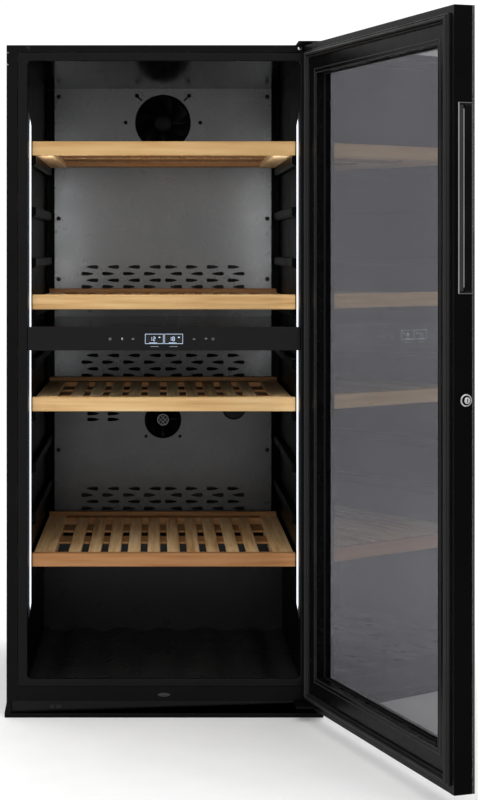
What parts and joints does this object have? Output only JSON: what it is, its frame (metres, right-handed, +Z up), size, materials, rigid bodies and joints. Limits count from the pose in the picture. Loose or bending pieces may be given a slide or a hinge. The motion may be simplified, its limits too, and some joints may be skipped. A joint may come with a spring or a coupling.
{
  "type": "wine cooler",
  "caption": "Upright two-zone wine cooler with a hinged glass door, slatted wooden pull-out shelves, circulation fans, light strips and a lock",
  "frame": {"origin": "floor level below the middle of the cabinet's front flange, on the base tray's underside", "axes": "+X to the viewer's right, +Y from the front flange towards the back, +Z up"},
  "size_m": [0.7862, 1.2571, 1.2733],
  "materials": {
    "black_sheet": "satin",
    "black_plastic": "satin",
    "liner_plastic": "satin",
    "divider_core": "satin",
    "foam": "matte",
    "grey_panel": "satin",
    "fins": "satin",
    "wood": "satin",
    "light": "emissive",
    "board": "matte",
    "screen": "gloss",
    "dark_rubber": "matte",
    "glass": "polished",
    "chrome": "polished"
  },
  "bodies": {
    "cabinet": {"back_panel": "black_sheet", "base_frame": "black_plastic", "bottom_cross_rail": "black_sheet", "compressor": "black_sheet", "condenser": "fins", "condenser_fan_frame": "black_plastic", "control_board": "board", "control_fascia": "black_plastic", "display_lens": "screen", "drip_pan": "black_plastic", "duct_panel_lower": "grey_panel", "duct_panel_upper": "grey_panel", "evaporator_lower": "fins", "evaporator_upper": "fins", "fan_frame_lower": "black_plastic", "fan_frame_upper": "black_plastic", "filter_cap": "black_plastic", "foot_front_left": "dark_rubber", "foot_front_right": "dark_rubber", "foot_rear_left": "dark_rubber", "foot_rear_right": "dark_rubber", "front_frame": "black_plastic", "hinge_bottom": "black_sheet", "hinge_top": "black_sheet", "insulation": "foam", "kick_plate": "black_plastic", "led_strip_left": "light", "led_strip_right": "light", "liner_back": "liner_plastic", "liner_ceiling": "liner_plastic", "liner_floor": "liner_plastic", "liner_left": "liner_plastic", "liner_right": "liner_plastic", "liner_step": "liner_plastic", "power_inlet": "black_plastic", "rear_cover": "black_sheet", "side_panel_left": "black_sheet", "side_panel_right": "black_sheet", "top_panel": "black_sheet", "zone_divider": "divider_core"},
    "door": {"door_frame": "black_plastic", "glass_outer": "glass", "glass_inner": "glass", "glazing_spacer": "dark_rubber", "door_gasket": "dark_rubber", "handle_grip": "black_plastic", "lock_escutcheon": "chrome"},
    "lock_barrel": {"lock_barrel": "chrome"},
    "fan_rotor_upper": {"fan_rotor_upper": "black_plastic"},
    "fan_rotor_lower": {"fan_rotor_lower": "black_plastic"},
    "condenser_fan_rotor": {"condenser_fan_rotor": "black_plastic"},
    "shelf_1": {"shelf_1_front": "wood", "shelf_1_rack": "wood"},
    "shelf_2": {"shelf_2_front": "wood", "shelf_2_rack": "wood"},
    "shelf_3": {"shelf_3_front": "wood", "shelf_3_rack": "wood"},
    "shelf_4": {"shelf_4_front": "wood", "shelf_4_rack": "wood"}
  },
  "joints": [
    {"name": "door_hinge", "type": "hinge", "parent": "cabinet", "child": "door", "pos_m": [0.2855, -0.029, 0.649], "axis": [0, 0, 1], "range_deg": [-108.3, 10]},
    {"name": "shelf_1_slide", "type": "slide", "parent": "cabinet", "child": "shelf_1", "axis": [0, -1, 0], "range_m": [0, 0.3]},
    {"name": "shelf_2_slide", "type": "slide", "parent": "cabinet", "child": "shelf_2", "axis": [0, -1, 0], "range_m": [0, 0.3]},
    {"name": "shelf_3_slide", "type": "slide", "parent": "cabinet", "child": "shelf_3", "axis": [0, -1, 0], "range_m": [0, 0.3]},
    {"name": "shelf_4_slide", "type": "slide", "parent": "cabinet", "child": "shelf_4", "axis": [0, -1, 0], "range_m": [0, 0.3]},
    {"name": "fan_upper_spin", "type": "hinge", "parent": "cabinet", "child": "fan_rotor_upper", "pos_m": [0, 0.5955, 1.165], "axis": [0, -1, 0], "continuous": true},
    {"name": "fan_lower_spin", "type": "hinge", "parent": "cabinet", "child": "fan_rotor_lower", "pos_m": [0, 0.5955, 0.506], "axis": [0, -1, 0], "continuous": true},
    {"name": "condenser_fan_spin", "type": "hinge", "parent": "cabinet", "child": "condenser_fan_rotor", "pos_m": [-0.1185, 0.6, 0.13], "axis": [1, 0, 0], "continuous": true},
    {"name": "lock_turn", "type": "hinge", "parent": "door", "child": "lock_barrel", "pos_m": [0.46998, -0.58204, 0.648], "axis": [0.314, -0.9494, 0], "range_deg": [0, 90]}
  ]
}
